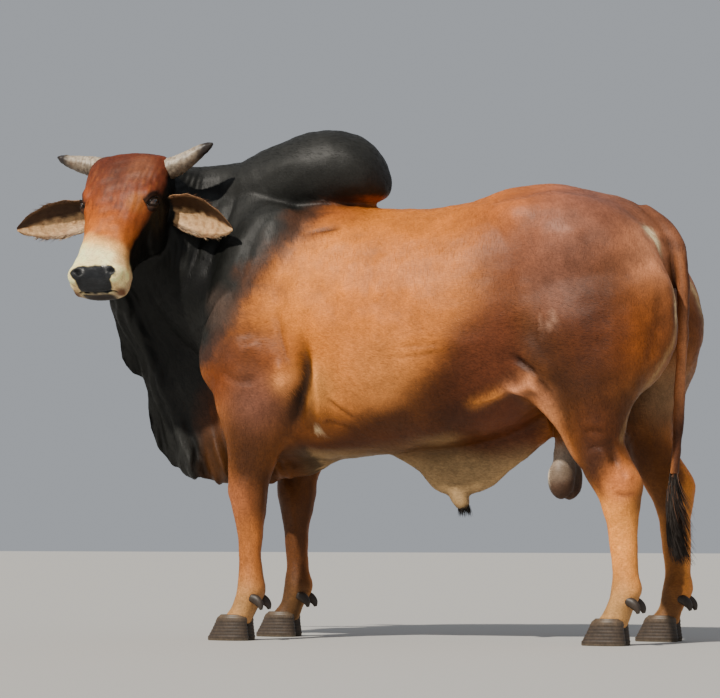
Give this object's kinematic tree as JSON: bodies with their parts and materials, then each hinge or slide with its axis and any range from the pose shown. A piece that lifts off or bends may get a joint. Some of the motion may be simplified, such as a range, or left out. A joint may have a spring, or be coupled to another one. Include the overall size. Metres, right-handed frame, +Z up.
{
  "type": "standing zebu bull model",
  "caption": "Life-size still model of a standing humped zebu bull with its head turned to its left, long ears, short horns and a deep dewlap.",
  "frame": {"origin": "on the floor under the middle of the bounding box", "axes": "+Z up, the body lies along X with the tail towards +X, the animal's left side towards -Y"},
  "size_m": [2.2876, 0.8735, 1.7055],
  "materials": {
    "hide": "short orange-tan coat, matt with a soft sheen",
    "dark_hide": "short charcoal-black coat, matt with a soft sheen",
    "horn": "pale grey mottled horn with dark tips",
    "hoof": "dark hoof horn, dull",
    "eye": "wet dark brown",
    "hair": "long black hair"
  },
  "bodies": {
    "root": {"dewlap": "dark_hide", "ear_left": "hide", "ear_right": "hide", "eye_left": "eye", "eye_right": "eye", "fore_dewclaw_left_inner": "hoof", "fore_dewclaw_left_outer": "hoof", "fore_dewclaw_right_inner": "hoof", "fore_dewclaw_right_outer": "hoof", "forehoof_left_inner": "hoof", "forehoof_left_outer": "hoof", "forehoof_right_inner": "hoof", "forehoof_right_outer": "hoof", "foreleg_left": "hide", "foreleg_right": "hide", "head": "hide", "hind_dewclaw_left_inner": "hoof", "hind_dewclaw_left_outer": "hoof", "hind_dewclaw_right_inner": "hoof", "hind_dewclaw_right_outer": "hoof", "hindhoof_left_inner": "hoof", "hindhoof_left_outer": "hoof", "hindhoof_right_inner": "hoof", "hindhoof_right_outer": "hoof", "hindleg_left": "hide", "hindleg_right": "hide", "horn_left": "horn", "horn_right": "horn", "hump": "dark_hide", "neck": "dark_hide", "scrotum": "hide", "sheath": "hide", "tail": "hide", "tail_switch": "hair", "torso": "hide"}
  },
  "joints": []
}
